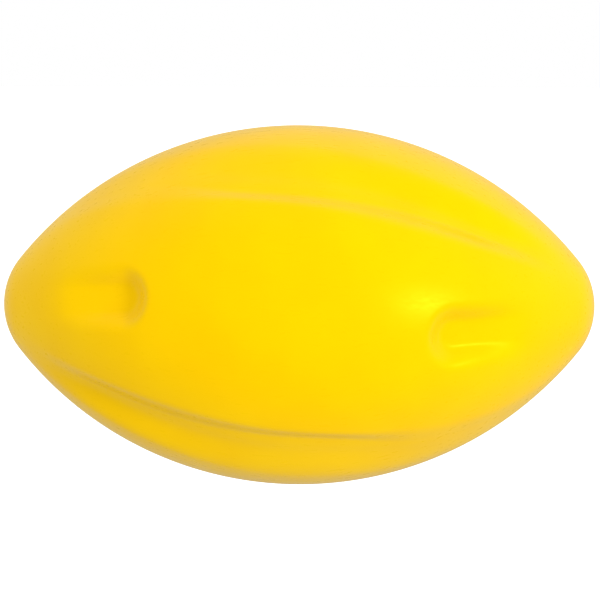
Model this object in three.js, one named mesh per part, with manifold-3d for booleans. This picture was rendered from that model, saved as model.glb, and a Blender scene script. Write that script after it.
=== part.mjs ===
// A throwable capsule that holds a folded, water-activated life ring.
// Two moulded half shells meet on the plane y = 0. The long axis is X, the front is -Y, up is +Z.
// The origin is the middle of the capsule. Lengths are millimetres, angles are degrees.
import * as THREE from 'three';
import { mergeVertices } from 'three/addons/utils/BufferGeometryUtils.js';
import Module from 'manifold-3d';

const wasm = await Module();
wasm.setup();

// ---- driving dimensions ----
const GAP = 0.3; // clearance between neighbouring pieces
const BODY_D = 122; // largest diameter; also the radius of the arc that sweeps the outline
const TIP_R = 24.7; // radius of the rounded tips
const WALL = 2.4; // moulded wall thickness
const FLUTE_DEPTH = 2.5; // helical flutes either side of each broad lobe
const FLUTE_EDGE = 40.5; // angle from the lobe's centre to the flute's edge, at mid length
const FLUTE_TWIST = 0.08; // degrees of twist for each millimetre of length
const FLUTE_FLARE = 0.0028; // how fast a flute swings outward towards one tip
const FLUTE_FADE = [58, 92]; // distance from the middle over which a flute runs out
const SCOOP = { wall: 48.7, depth: 5.2, end: 77, halfWidth: 10.3, reach: 3.9, roll: 7.5 };
const LIP = { inset: WALL + GAP, thick: 1.5, front: 3, rear: 4, halfLength: 68 };
const PIN = { x: 78, z: 27, r: 1.8, length: 16, waist: 1.2, bossR: 4, bossLength: 12 };
const POSTS = [-38, 26]; // x of the two posts that carry the cradle
const POST = { r: 5, front: 24.8, pilotR: 1.6, pilotDepth: 15 };
const AXIS_Y = 6; // the inflator and its gas cylinder lie along this line
const CYLINDER = { r: 11, wall: 1.2, foot: -80, shoulder: -12, neckR: 5, end: 8, boreR: 1.6 };
const BLOCK = { left: 3, right: 46, front: -12.5, back: 19, halfHeight: 13.8, spigotR: 10.5, spigotEnd: 52 };
const MANIFOLD = { x: 24, y: -5, stemR: 4, flangeR: 14, flangeLow: 15.6, flangeTop: 17.8, stemEnd: -15.7 };
const NUT = { r: 7.5, top: -14.1, low: -17.9, boreEnd: -16.2 };
const CAP = { r: 14, boreR: 10.8, left: 47, right: 73, endWall: 2.5, slots: 6 };
const CRADLE = { left: -66, right: 46, front: 20.5, back: 24.5, halfHeight: 16.1 };
const CLIPS = [-55, -19]; // x of the two cylinder clips
const PACK = { inset: 7, halfLength: 70, channel: 18.3, window: 54, bridgeBack: -8.6 };
const BAND = { outerInset: 5.4, innerInset: 6.6, width: 8, places: [-14, 14] };
const ORAL = { y: -30, z: -8, tubeR: 5, boreR: 3.4, flangeR: 9 };
const INLET_R = 1.7;
const INLETS_X = [8, 20, 32, 44];

// ---- colours and finishes ----
const yellow = () => new THREE.MeshStandardMaterial({ color: 0xfddb02, roughness: 0.22, metalness: 0 });
const nylon = () => new THREE.MeshStandardMaterial({ color: 0xf2f1ea, roughness: 0.45, metalness: 0 });
const greyPlastic = () => new THREE.MeshStandardMaterial({ color: 0x4a4f55, roughness: 0.55, metalness: 0 });
const blackPlastic = () => new THREE.MeshStandardMaterial({ color: 0x17181a, roughness: 0.5, metalness: 0 });
const steel = () => new THREE.MeshStandardMaterial({ color: 0xb8bcc0, roughness: 0.3, metalness: 1 });
const rubber = () => new THREE.MeshStandardMaterial({ color: 0x1d1d1e, roughness: 0.8, metalness: 0 });
const coatedFabric = () => new THREE.MeshStandardMaterial({ color: 0xe8571a, roughness: 0.6, metalness: 0 });
const webbing = () => new THREE.MeshStandardMaterial({ color: 0x20242a, roughness: 0.9, metalness: 0 });
const cellulose = () => new THREE.MeshStandardMaterial({ color: 0xe9e2cf, roughness: 0.95, metalness: 0 });
const clearGreen = () => new THREE.MeshStandardMaterial({ color: 0x2f8f4e, roughness: 0.4, metalness: 0 });

// ---- from three.js geometry to solids and back ----
function signedVolume(points, triangles) {
  const a = new THREE.Vector3();
  const b = new THREE.Vector3();
  const c = new THREE.Vector3();
  let volume = 0;
  for (let i = 0; i < triangles.length; i += 3) {
    a.fromArray(points, 3 * triangles[i]);
    b.fromArray(points, 3 * triangles[i + 1]);
    c.fromArray(points, 3 * triangles[i + 2]);
    volume += a.dot(b.cross(c)) / 6;
  }
  return volume;
}

function toSolid(geometry) {
  const bare = geometry.clone();
  bare.deleteAttribute('normal');
  bare.deleteAttribute('uv');
  const merged = mergeVertices(bare, 1e-4);
  const index = merged.index.array;
  const points = new Float32Array(merged.attributes.position.array);
  const triangles = [];
  for (let i = 0; i < index.length; i += 3) {
    const [a, b, c] = [index[i], index[i + 1], index[i + 2]];
    if (a !== b && b !== c && c !== a) triangles.push(a, b, c);
  }
  if (signedVolume(points, triangles) < 0) triangles.reverse();
  const mesh = new wasm.Mesh({ numProp: 3, vertProperties: points, triVerts: new Uint32Array(triangles) });
  return new wasm.Manifold(mesh);
}

function toGeometry(solid) {
  const mesh = solid.getMesh();
  const geometry = new THREE.BufferGeometry();
  geometry.setAttribute('position', new THREE.BufferAttribute(new Float32Array(mesh.vertProperties), 3));
  geometry.setIndex(Array.from(mesh.triVerts));
  geometry.computeVertexNormals();
  return geometry;
}

const capsule = new THREE.Group();

function addPiece(name, solid, material) {
  const mesh = new THREE.Mesh(toGeometry(solid), material);
  mesh.name = name;
  capsule.add(mesh);
}

// ---- simple solids ----
function box(x0, x1, y0, y1, z0, z1) {
  const geometry = new THREE.BoxGeometry(x1 - x0, y1 - y0, z1 - z0);
  geometry.translate((x0 + x1) / 2, (y0 + y1) / 2, (z0 + z1) / 2);
  return toSolid(geometry);
}

// A turned piece: pairs of [position along the axis, radius], about X, Y or Z through a point.
function turned(pairs, axis, centre, segments = 18) {
  const profile = pairs.map(([along, radius]) => new THREE.Vector2(radius, along));
  const geometry = new THREE.LatheGeometry(profile, segments);
  if (axis === 'x') geometry.rotateZ(-Math.PI / 2);
  if (axis === 'z') geometry.rotateX(Math.PI / 2);
  geometry.translate(...centre);
  return toSolid(geometry);
}

function rod(axis, centre, from, to, radius, segments = 18) {
  return turned([[from, 0], [from, radius], [to, radius], [to, 0]], axis, centre, segments);
}

function washer(axis, centre, from, to, inner, outer, segments = 18) {
  const pairs = [[from, inner], [from, outer], [to, outer], [to, inner], [from, inner]];
  return turned(pairs, axis, centre, segments);
}

function polygonRod(sides, radius, low, high, centre) {
  const shape = new THREE.Shape();
  for (let i = 0; i < sides; i++) {
    const turn = (2 * Math.PI * i) / sides;
    const point = [radius * Math.cos(turn), radius * Math.sin(turn)];
    if (i === 0) shape.moveTo(...point);
    else shape.lineTo(...point);
  }
  shape.closePath();
  const geometry = new THREE.ExtrudeGeometry(shape, { depth: high - low, bevelEnabled: false });
  geometry.translate(centre[0], centre[1], low);
  return toSolid(geometry);
}

// A coil spring along X: wire swept along a helix.
class Helix extends THREE.Curve {
  constructor(x0, x1, radius, turns, y, z) {
    super();
    Object.assign(this, { x0, x1, radius, turns, y, z });
  }

  getPoint(t) {
    const turn = 2 * Math.PI * this.turns * t;
    const x = this.x0 + (this.x1 - this.x0) * t;
    return new THREE.Vector3(x, this.y + this.radius * Math.cos(turn), this.z + this.radius * Math.sin(turn));
  }
}

function sweep(curve, sectionR, sides, steps, boreR = 0) {
  const section = new THREE.Shape();
  section.absarc(0, 0, sectionR, 0, 2 * Math.PI);
  if (boreR > 0) {
    const bore = new THREE.Path();
    bore.absarc(0, 0, boreR, 0, 2 * Math.PI, true);
    section.holes.push(bore);
  }
  const options = { extrudePath: curve, steps, curveSegments: sides / 2, bevelEnabled: false };
  return toSolid(new THREE.ExtrudeGeometry(section, options));
}

function springSolid(x0, x1, radius, wire, turns, y, z) {
  const curve = new Helix(x0 + wire, x1 - wire, radius, turns, y, z);
  return sweep(curve, wire, 4, turns * 9);
}

// ---- the capsule's outer form ----
const smooth = (low, high, value) => THREE.MathUtils.smoothstep(value, low, high);
const radians = THREE.MathUtils.degToRad;
const wrap = (degrees) => THREE.MathUtils.euclideanModulo(degrees + 180, 360) - 180;

// The outline is an arc of radius BODY_D whose centre lies BODY_D / 2 beyond the axis.
const TIP_CENTRE = Math.sqrt((BODY_D - TIP_R) ** 2 - (BODY_D / 2) ** 2);

function outlineRadius(x, inset) {
  const tangentX = (TIP_CENTRE * (BODY_D - inset)) / (BODY_D - TIP_R);
  const distance = Math.abs(x);
  if (distance < tangentX) return Math.sqrt((BODY_D - inset) ** 2 - x * x) - BODY_D / 2;
  return Math.sqrt(Math.max(0, (TIP_R - inset) ** 2 - (distance - TIP_CENTRE) ** 2));
}

// Where a flute's sharper edge runs, in degrees from the centre of its lobe.
function fluteEdge(x) {
  return FLUTE_EDGE - FLUTE_TWIST * x + FLUTE_FLARE * Math.min(x, 0) ** 2;
}

const OUTER_GRID = [48, 30]; // facets round and along the capsule's outside
const INNER_GRID = [28, 18]; // the same for everything hidden inside it

// Depth of one flute: a brisk wall on the lobe's side, then a long run-out.
const fluteSection = (offset) => smooth(-3, 6, offset) * (1 - smooth(11, 27, offset));

function fluteDepth(x, angle) {
  let total = 0;
  for (const lobe of [0, 180]) {
    const fromLobe = wrap(angle - lobe);
    total += fluteSection(fromLobe - fluteEdge(x)) + fluteSection(-fromLobe - fluteEdge(-x));
  }
  return FLUTE_DEPTH * (1 - smooth(...FLUTE_FADE, Math.abs(x))) * Math.min(total, 1);
}

function form(inset, around, along) {
  const half = TIP_CENTRE + TIP_R - inset;
  const profile = [];
  for (let i = 0; i <= along; i++) {
    const x = -half * Math.cos((Math.PI * i) / along);
    const atTip = i === 0 || i === along;
    profile.push(new THREE.Vector2(atTip ? 0 : outlineRadius(x, inset), x));
  }
  const geometry = new THREE.LatheGeometry(profile, around);
  geometry.rotateZ(-Math.PI / 2);
  const place = geometry.attributes.position;
  for (let i = 0; i < place.count; i++) {
    const [x, y, z] = [place.getX(i), place.getY(i), place.getZ(i)];
    const radius = Math.hypot(y, z);
    if (radius < 1e-3) continue;
    const angle = THREE.MathUtils.radToDeg(Math.atan2(z, -y));
    const scale = 1 - fluteDepth(x, angle) / radius;
    place.setXYZ(i, x, y * scale, z * scale);
  }
  return toSolid(geometry);
}

// One U-ended finger scoop with a flat floor that runs out towards the tip, as a cutting tool.
function scoopTool(grow) {
  const halfWidth = SCOOP.halfWidth + grow;
  const wallRadius = outlineRadius(SCOOP.wall, 0) - SCOOP.depth;
  const endRadius = outlineRadius(SCOOP.end, 0);
  const pitch = Math.atan2(wallRadius - endRadius, SCOOP.end - SCOOP.wall);
  const shape = new THREE.Shape();
  shape.absarc(SCOOP.halfWidth - SCOOP.reach, 0, halfWidth, Math.PI / 2, (3 * Math.PI) / 2);
  shape.lineTo(60, -halfWidth);
  shape.lineTo(60, halfWidth);
  shape.closePath();
  const geometry = new THREE.ExtrudeGeometry(shape, { depth: 25 + grow, curveSegments: 7, bevelEnabled: false });
  geometry.translate(0, 0, -grow);
  const along = new THREE.Vector3(Math.cos(pitch), Math.sin(pitch), 0);
  const across = new THREE.Vector3(0, 0, 1);
  const outward = new THREE.Vector3().crossVectors(along, across);
  geometry.applyMatrix4(new THREE.Matrix4().makeBasis(along, across, outward));
  geometry.translate(SCOOP.wall, -wallRadius, 0);
  geometry.rotateX(radians(SCOOP.roll));
  return geometry;
}

// Both scoops of the front lobe, and the same pair turned round to the rear lobe.
function scoops(grow) {
  const tools = [0, 1, 2, 3].map((i) => {
    const geometry = scoopTool(grow);
    if (i % 2 === 1) geometry.rotateY(Math.PI);
    if (i >= 2) geometry.rotateX(Math.PI);
    return toSolid(geometry);
  });
  return tools[0].add(tools[1]).add(tools[2]).add(tools[3]);
}

const outerForm = form(0, ...OUTER_GRID);
const innerForm = form(WALL, ...INNER_GRID);
const hollow = outerForm.subtract(scoops(0)).subtract(innerForm.subtract(scoops(WALL)));

const BIG = 200;
const frontSpace = box(-BIG, BIG, -BIG, -GAP / 2, -BIG, BIG);
const rearSpace = box(-BIG, BIG, GAP / 2, BIG, -BIG, BIG);

// ---- shells ----
const pinPlaces = [[-1, -1], [-1, 1], [1, -1], [1, 1]].map(([i, j]) => [i * PIN.x, 0, j * PIN.z]);

function withPinBosses(shell, side) {
  const space = side < 0 ? frontSpace : rearSpace;
  let result = shell;
  for (const place of pinPlaces) {
    const boss = rod('y', place, -PIN.bossLength, PIN.bossLength, PIN.bossR).intersect(space);
    result = result.add(boss.intersect(outerForm));
  }
  for (const place of pinPlaces) {
    const reach = PIN.length / 2 + 0.6;
    result = result.subtract(rod('y', place, -reach, reach, PIN.r + GAP, 16));
  }
  return result;
}

// The locating lip stands inside the joint line, on the rear shell.
function locatingLip() {
  const inner = form(LIP.inset + LIP.thick, ...INNER_GRID);
  const reach = box(-LIP.halfLength, LIP.halfLength, -LIP.front, LIP.rear, -BIG, BIG);
  const root = box(-LIP.halfLength, LIP.halfLength, 2 * GAP, LIP.rear, -BIG, BIG);
  const lip = form(LIP.inset, ...INNER_GRID).subtract(inner).intersect(reach);
  return lip.add(form(WALL - 0.6, ...INNER_GRID).subtract(inner).intersect(root));
}

function cradlePost(x) {
  const post = rod('y', [x, 0, 0], POST.front, BIG, POST.r).intersect(outerForm);
  return post.subtract(rod('y', [x, 0, 0], POST.front - 1, POST.front + POST.pilotDepth, POST.pilotR, 12));
}

// Water reaches the sensor through small holes on the floors of the two rear flutes.
function waterInlets() {
  const holes = [];
  for (const x of INLETS_X) {
    for (const side of [1, -1]) {
      const fromLobe = side * (fluteEdge(side * x) + 10);
      const geometry = new THREE.CylinderGeometry(INLET_R, INLET_R, 30, 12);
      geometry.translate(0, 50, 0);
      geometry.rotateX(radians(-fromLobe));
      geometry.translate(side * x, 0, 0);
      holes.push(toSolid(geometry));
    }
  }
  return holes.reduce((all, hole) => all.add(hole));
}

function makeShells() {
  const front = withPinBosses(hollow.intersect(frontSpace), -1);
  let rear = withPinBosses(hollow.intersect(rearSpace), 1).add(locatingLip());
  for (const x of POSTS) rear = rear.add(cradlePost(x));
  addPiece('rear_shell', rear.subtract(waterInlets()), yellow());
  addPiece('front_shell', front, yellow());
}

function makeShearPins() {
  const half = PIN.length / 2;
  const pairs = [[-half, 0], [-half, 1.2], [1 - half, PIN.r], [-1, PIN.r], [-0.5, PIN.waist],
    [0.5, PIN.waist], [1, PIN.r], [half - 1, PIN.r], [half, 1.2], [half, 0]];
  pinPlaces.forEach((place, i) => {
    addPiece(`shear_pin_${i + 1}`, turned(pairs, 'y', place, 12), nylon());
  });
}

// ---- cradle ----
function cylinderClip(x) {
  const arm = CYLINDER.r + GAP + 2;
  const block = box(x - 3, x + 3, 1, CRADLE.back - 1, -arm, arm);
  return block.subtract(rod('x', [0, AXIS_Y, 0], x - 4, x + 4, CYLINDER.r + GAP, 28));
}

function makeCradle() {
  let cradle = box(CRADLE.left, CRADLE.right, CRADLE.front, CRADLE.back, -CRADLE.halfHeight, CRADLE.halfHeight);
  for (const x of CLIPS) cradle = cradle.add(cylinderClip(x));
  for (const side of [-1, 1]) {
    const inner = side * (BLOCK.halfHeight + GAP);
    const outer = side * CRADLE.halfHeight;
    cradle = cradle.add(box(8, 42, 10, CRADLE.back - 1, Math.min(inner, outer), Math.max(inner, outer)));
  }
  for (const x of POSTS) {
    cradle = cradle.subtract(rod('y', [x, 0, 0], CRADLE.front - 1, CRADLE.back + 1, 1.9, 16));
    cradle = cradle.subtract(rod('y', [x, 0, 0], CRADLE.front - 1, CRADLE.front + 2.4, 3.9, 20));
  }
  for (const x of [-46, -30, 2]) {
    cradle = cradle.subtract(box(x - 3, x + 3, CRADLE.front - 1, CRADLE.back + 1, -11, 11));
  }
  addPiece('inflator_cradle', cradle, greyPlastic());
}

function makeCradleScrews() {
  POSTS.forEach((x, i) => {
    const pairs = [[20.8, 0], [20.8, 3], [21.3, 3.5], [22.5, 3.5], [22.5, 1.4], [35, 1.4], [37, 0.3], [37, 0]];
    const slot = box(x - 2, x + 2, 20, 21.9, -0.4, 0.4).add(box(x - 0.4, x + 0.4, 20, 21.9, -2, 2));
    addPiece(`cradle_screw_${i + 1}`, turned(pairs, 'y', [x, 0, 0], 16).subtract(slot), steel());
  });
}

// ---- gas cylinder and inflator ----
const ON_AXIS = [0, AXIS_Y, 0];

function makeCylinder() {
  const { r, wall, foot, shoulder, neckR, end, boreR } = CYLINDER;
  const inner = r - wall;
  const pairs = [[foot, 0], [foot, r - 4], [foot + 1.2, r - 1.2], [foot + 4, r], [shoulder, r],
    [shoulder + 6, r - 2.5], [-1, neckR], [end, neckR], [end, boreR], [-2, boreR],
    [shoulder + 5, r - 4.5], [shoulder, inner], [foot + 4, inner], [foot + 1.6, inner - 3], [foot + 1.6, 0]];
  addPiece('co2_cylinder', turned(pairs, 'x', ON_AXIS, 24), steel());
  addPiece('cylinder_seal', washer('x', ON_AXIS, end + GAP, end + 1.7, 2.2, neckR), rubber());
}

function blockOutline() {
  const [y0, y1, z1, corner] = [BLOCK.front, BLOCK.back, BLOCK.halfHeight, 3];
  const shape = new THREE.Shape();
  shape.moveTo(y0 + corner, -z1);
  shape.lineTo(y1 - corner, -z1);
  shape.absarc(y1 - corner, corner - z1, corner, -Math.PI / 2, 0);
  shape.absarc(y1 - corner, z1 - corner, corner, 0, Math.PI / 2);
  shape.absarc(y0 + corner, z1 - corner, corner, Math.PI / 2, Math.PI);
  shape.absarc(y0 + corner, corner - z1, corner, Math.PI, (3 * Math.PI) / 2);
  return shape;
}

function makeInflatorBody() {
  const length = BLOCK.right - BLOCK.left;
  const geometry = new THREE.ExtrudeGeometry(blockOutline(), { depth: length, curveSegments: 4, bevelEnabled: false });
  const outline = new THREE.Matrix4().makeBasis(
    new THREE.Vector3(0, 1, 0), new THREE.Vector3(0, 0, 1), new THREE.Vector3(1, 0, 0));
  geometry.applyMatrix4(outline);
  geometry.translate(BLOCK.left, 0, 0);
  let body = toSolid(geometry).add(rod('x', ON_AXIS, BLOCK.right - 1, BLOCK.spigotEnd, BLOCK.spigotR, 24));
  const bores = [[BLOCK.left - 1, 10, CYLINDER.neckR + GAP], [9, 21, 2], [20, BLOCK.spigotEnd + 1, 5.3]];
  for (const [from, to, radius] of bores) body = body.subtract(rod('x', ON_AXIS, from, to, radius));
  const port = [MANIFOLD.x, MANIFOLD.y, 0];
  addPiece('inflator_body', body.subtract(rod('z', port, -20, 20, MANIFOLD.stemR + GAP)), blackPlastic());
}

function makeStriker() {
  const pin = [[11, 0], [14, 1.4], [26, 1.4], [26, 4.8], [29, 4.8], [29, 2], [30, 2], [30, 0]];
  addPiece('firing_pin', turned(pin, 'x', ON_AXIS, 16), steel());
  const plunger = [[30 + GAP, 0], [30 + GAP, 5], [58, 5], [58, 8], [60, 8], [60, 3], [63, 3], [63, 0]];
  addPiece('striker_plunger', turned(plunger, 'x', ON_AXIS), clearGreen());
  addPiece('striker_spring', springSolid(60.3, 70.2, 5.4, 0.6, 5, AXIS_Y, 0), steel());
  addPiece('water_bobbin', washer('x', ON_AXIS, BLOCK.spigotEnd + GAP, 58 - GAP, 5.4, 9.6), cellulose());
}

function makeSensorCap() {
  const { r, boreR, left, right, endWall, slots } = CAP;
  const pairs = [[left, boreR], [left, r - 1], [left + 1, r], [right - 2, r], [right, r - 2], [right, 0],
    [right - endWall, 0], [right - endWall, boreR], [left, boreR]];
  let cap = turned(pairs, 'x', ON_AXIS, 24);
  for (let i = 0; i < slots; i++) {
    const slot = new THREE.BoxGeometry(10, 8, 3);
    slot.translate(62, 13, 0);
    slot.rotateX((2 * Math.PI * i) / slots + Math.PI / slots);
    slot.translate(0, AXIS_Y, 0);
    cap = cap.subtract(toSolid(slot));
  }
  addPiece('sensor_cap', cap, yellow());
}

function makeManifold() {
  const { x, y, stemR, flangeR, flangeLow, flangeTop, stemEnd } = MANIFOLD;
  const centre = [x, y, 0];
  const flange = [[-10, 0], [-10, 1.5], [flangeTop, 1.5], [flangeTop, flangeR], [flangeLow, flangeR],
    [flangeLow, stemR], [stemEnd, stemR], [stemEnd, 0]];
  addPiece('manifold_flange', turned(flange, 'z', centre, 24), blackPlastic());
  const gasket = washer('z', centre, BLOCK.halfHeight + GAP, flangeLow - GAP, stemR + GAP, 9);
  addPiece('manifold_gasket', gasket, rubber());
  const nut = polygonRod(6, NUT.r, NUT.low, NUT.top, centre);
  addPiece('manifold_nut', nut.subtract(rod('z', centre, NUT.boreEnd, NUT.top + 1, stemR + GAP)), steel());
}

// ---- folded ring, its bands and its oral inflation tube ----
function makeFoldedRing() {
  const { inset, halfLength, channel, window, bridgeBack } = PACK;
  const slab = box(-halfLength, halfLength, -BIG, BIG, -BIG, BIG);
  let pack = form(inset, ...INNER_GRID).subtract(scoops(WALL + 2)).intersect(slab);
  pack = pack.subtract(box(-BIG, BIG, bridgeBack, BIG, -channel, channel));
  pack = pack.subtract(box(-window, window, -BIG, BIG, -channel, channel));
  addPiece('folded_ring', pack, coatedFabric());
}

function makeBands() {
  BAND.places.forEach((x, i) => {
    const slice = box(x - BAND.width / 2, x + BAND.width / 2, -BIG, BIG, -BIG, BIG);
    const band = form(BAND.outerInset, ...INNER_GRID).intersect(slice).subtract(form(BAND.innerInset, ...INNER_GRID));
    addPiece(`pack_band_${i + 1}`, band, webbing());
  });
}

function makeOralTube() {
  const { y, z, tubeR, boreR, flangeR } = ORAL;
  const base = GAP - PACK.channel;
  const bend = [[-14, z], [6, z], [16, z + 0.5], [24, z - 1.5], [27, z - 6], [27.2, base + 0.5]];
  const route = new THREE.CatmullRomCurve3(bend.map(([px, pz]) => new THREE.Vector3(px, y, pz)));
  const tube = sweep(route, tubeR, 12, 16, boreR);
  const flange = rod('z', [27.2, y, 0], base, base + 1.6, flangeR);
  const bore = rod('z', [27.2, y, 0], base - 1, base + 1.1, boreR, 12);
  addPiece('oral_tube', tube.add(flange).subtract(bore), blackPlastic());
}

function makeOralValve() {
  const line = [0, ORAL.y, ORAL.z];
  const mouthpiece = [[-34, 4.4], [-34, 5.4], [-33, 6], [-14.3, 6], [-14.3, 3.1], [-6, 3.1], [-6, 2.4],
    [-20, 2.4], [-20, 1.6], [-22, 1.6], [-22, 4.4], [-34, 4.4]];
  addPiece('oral_mouthpiece', turned(mouthpiece, 'x', line, 16), nylon());
  const poppet = [[-33, 0], [-33, 3.4], [-31.5, 3.6], [-31.5, 1.2], [-19.7, 1.2], [-19.7, 2.2], [-18.4, 2.2],
    [-18.4, 0]];
  addPiece('oral_valve_poppet', turned(poppet, 'x', line, 12), clearGreen());
  addPiece('oral_valve_spring', springSolid(-31.3, -22.2, 2.6, 0.35, 6, ORAL.y, ORAL.z), steel());
  const cap = [[-38, 0], [-38, 6.6], [-37, 7.6], [-26, 7.6], [-26, 6.3], [-36, 6.3], [-36, 0]];
  addPiece('dust_cap', turned(cap, 'x', line), rubber());
}

makeShells();
makeShearPins();
makeCradle();
makeCradleScrews();
makeCylinder();
makeInflatorBody();
makeStriker();
makeSensorCap();
makeManifold();
makeFoldedRing();
makeBands();
makeOralTube();
makeOralValve();

export default capsule;
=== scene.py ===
# %% [markdown]
# # A throwable life ring capsule
#
# This lesson builds the looks of a hand-sized rescue capsule: two glossy yellow half shells that hold a
# folded, water-activated life ring. The mechanical model is already fixed, so each piece here is shaped
# around it and then told which body it moves with.
#
# The first cell loads that frame and keeps its box. Nothing else is read from disk.

# %% Load the frame
import math

import bmesh
import bpy
import numpy as np
from mathutils import Matrix, Vector, noise


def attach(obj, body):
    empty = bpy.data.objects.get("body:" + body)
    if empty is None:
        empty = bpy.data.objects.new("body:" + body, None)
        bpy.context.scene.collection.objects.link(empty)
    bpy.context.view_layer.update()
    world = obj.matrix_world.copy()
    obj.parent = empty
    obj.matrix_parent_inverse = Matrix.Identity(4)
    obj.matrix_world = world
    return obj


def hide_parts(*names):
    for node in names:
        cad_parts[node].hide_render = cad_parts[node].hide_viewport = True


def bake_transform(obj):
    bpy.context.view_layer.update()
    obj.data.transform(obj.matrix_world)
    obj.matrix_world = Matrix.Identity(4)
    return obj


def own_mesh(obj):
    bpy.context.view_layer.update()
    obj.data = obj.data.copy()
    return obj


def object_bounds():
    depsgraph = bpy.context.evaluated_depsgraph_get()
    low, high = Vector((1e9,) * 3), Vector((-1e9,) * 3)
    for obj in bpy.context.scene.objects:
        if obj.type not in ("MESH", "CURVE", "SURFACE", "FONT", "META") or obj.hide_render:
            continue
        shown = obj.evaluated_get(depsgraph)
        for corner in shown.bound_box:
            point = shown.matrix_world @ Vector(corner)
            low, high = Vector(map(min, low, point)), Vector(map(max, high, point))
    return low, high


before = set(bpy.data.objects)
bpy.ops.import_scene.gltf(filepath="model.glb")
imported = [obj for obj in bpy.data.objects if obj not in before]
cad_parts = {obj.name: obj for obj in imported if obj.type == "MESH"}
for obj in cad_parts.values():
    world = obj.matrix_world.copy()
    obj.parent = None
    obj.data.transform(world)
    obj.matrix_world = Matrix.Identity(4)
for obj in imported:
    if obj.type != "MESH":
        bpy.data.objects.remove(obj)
CAD_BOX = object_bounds()
MM = 0.001
print("nodes:", len(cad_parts))

# %% [markdown]
# ## The outline
#
# Seen from the side, the capsule's edge is one arc whose radius equals the body's diameter, so the centre
# of the arc lies half a diameter beyond the axis. A small ball rounds each tip. Both facts come from the
# box alone: the diameter is its width, and the ball's radius is the one that makes the arc and the ball
# meet at the right length. Writing the outline as a formula keeps the surface free of the flats that a
# traced curve would leave.

# %% Outline of the body, as a formula
BODY_D = CAD_BOX[1].y - CAD_BOX[0].y
HALF_LENGTH = (CAD_BOX[1].x - CAD_BOX[0].x) / 2
TIP_R = (0.75 * BODY_D**2 - HALF_LENGTH**2) / (2 * (BODY_D - HALF_LENGTH))
TIP_CENTRE = HALF_LENGTH - TIP_R


def outline_radius(x, inset=0.0):
    distance = np.abs(x)
    tangent = TIP_CENTRE * (BODY_D - inset) / (BODY_D - TIP_R)
    arc = np.sqrt(np.maximum((BODY_D - inset) ** 2 - x**2, 0)) - BODY_D / 2
    tip = np.sqrt(np.maximum((TIP_R - inset) ** 2 - (distance - TIP_CENTRE) ** 2, 0))
    return np.where(distance < tangent, arc, tip)


print(f"diameter {BODY_D / MM:.1f} mm, length {2 * HALF_LENGTH / MM:.1f} mm, tips {TIP_R / MM:.1f} mm")

# %% [markdown]
# ## Flutes
#
# Each half has one broad lobe with a helical flute on either side. The twist makes the capsule spin when
# it is thrown. A flute starts broad and soft where it comes over the lobe and ends as a crisp edge,
# because the wall on the lobe's side tightens along its length. Its other wall always runs out gently.

# %% Flutes
FLUTE_DEPTH = 2.5 * MM
FLUTE_EDGE = 40.5  # degrees from the lobe's centre, at mid length
FLUTE_TWIST = 0.08 / MM  # degrees for each metre of length
FLUTE_FLARE = 0.0028 / MM**2  # bends the crisp half of the edge away from the lobe
FLUTE_FADE = (58 * MM, 92 * MM)  # both ends die out over this stretch
BROAD_END = (-10 * MM, 60 * MM)  # over this stretch a flute's near wall opens from crisp to broad
BROAD_GAIN = 0.8  # how much deeper the broad end is
CRISP_FADE = (-52 * MM, -14 * MM)  # the crisp end grows shallow over this stretch
CRISP_LOSS = 0.68  # how much shallower the crisp end is
NEAR_WALL = (-3.0, 3.5)  # degrees from the edge to the crisp wall's brow and foot
SOFTER = 3.0  # degrees that a soft near wall gains on each side
FAR_WALL = (9, 26)  # degrees from the edge over which the far wall runs out
FAR_WALL_PULL = 3  # degrees that it comes nearer at the broad end


def ease(low, high, value):
    t = np.clip((value - low) / (high - low), 0, 1)
    return t * t * (3 - 2 * t)


def flute_edge(x):
    return FLUTE_EDGE - FLUTE_TWIST * x + FLUTE_FLARE * np.minimum(x, 0) ** 2


def flute_section(offset, along):
    broad = ease(*BROAD_END, along)
    faded = 1 - ease(*CRISP_FADE, along)
    widen = SOFTER * np.maximum(broad, faded)
    near_wall = ease(NEAR_WALL[0] - widen, NEAR_WALL[1] + widen, offset)
    far_wall = 1 - ease(FAR_WALL[0], FAR_WALL[1] - FAR_WALL_PULL * broad, offset)
    return near_wall * far_wall * (1 - CRISP_LOSS * faded) * (1 + BROAD_GAIN * broad)


def flute_depth(x, angle):
    upper = flute_section(angle - flute_edge(x), x)
    lower = flute_section(-angle - flute_edge(-x), -x)
    fade = 1 - ease(*FLUTE_FADE, np.abs(x))
    return FLUTE_DEPTH * fade * np.minimum(upper + lower, 1 + BROAD_GAIN)


deepest = FLUTE_DEPTH * (1 + BROAD_GAIN)
print(f"flutes {FLUTE_DEPTH / MM:.1f} mm deep, up to {deepest / MM:.1f} mm at the broad end")

# %% [markdown]
# ## Finger scoops
#
# Two U-ended scoops on the lobe take a thumb and a finger. Cutting them with a boolean would leave knife
# edges that no mould makes, so the surface is pressed down onto the scoop's flat floor instead, with a
# soft mask for the walls. The left scoop is the right one turned half a turn about the front axis.

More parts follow.
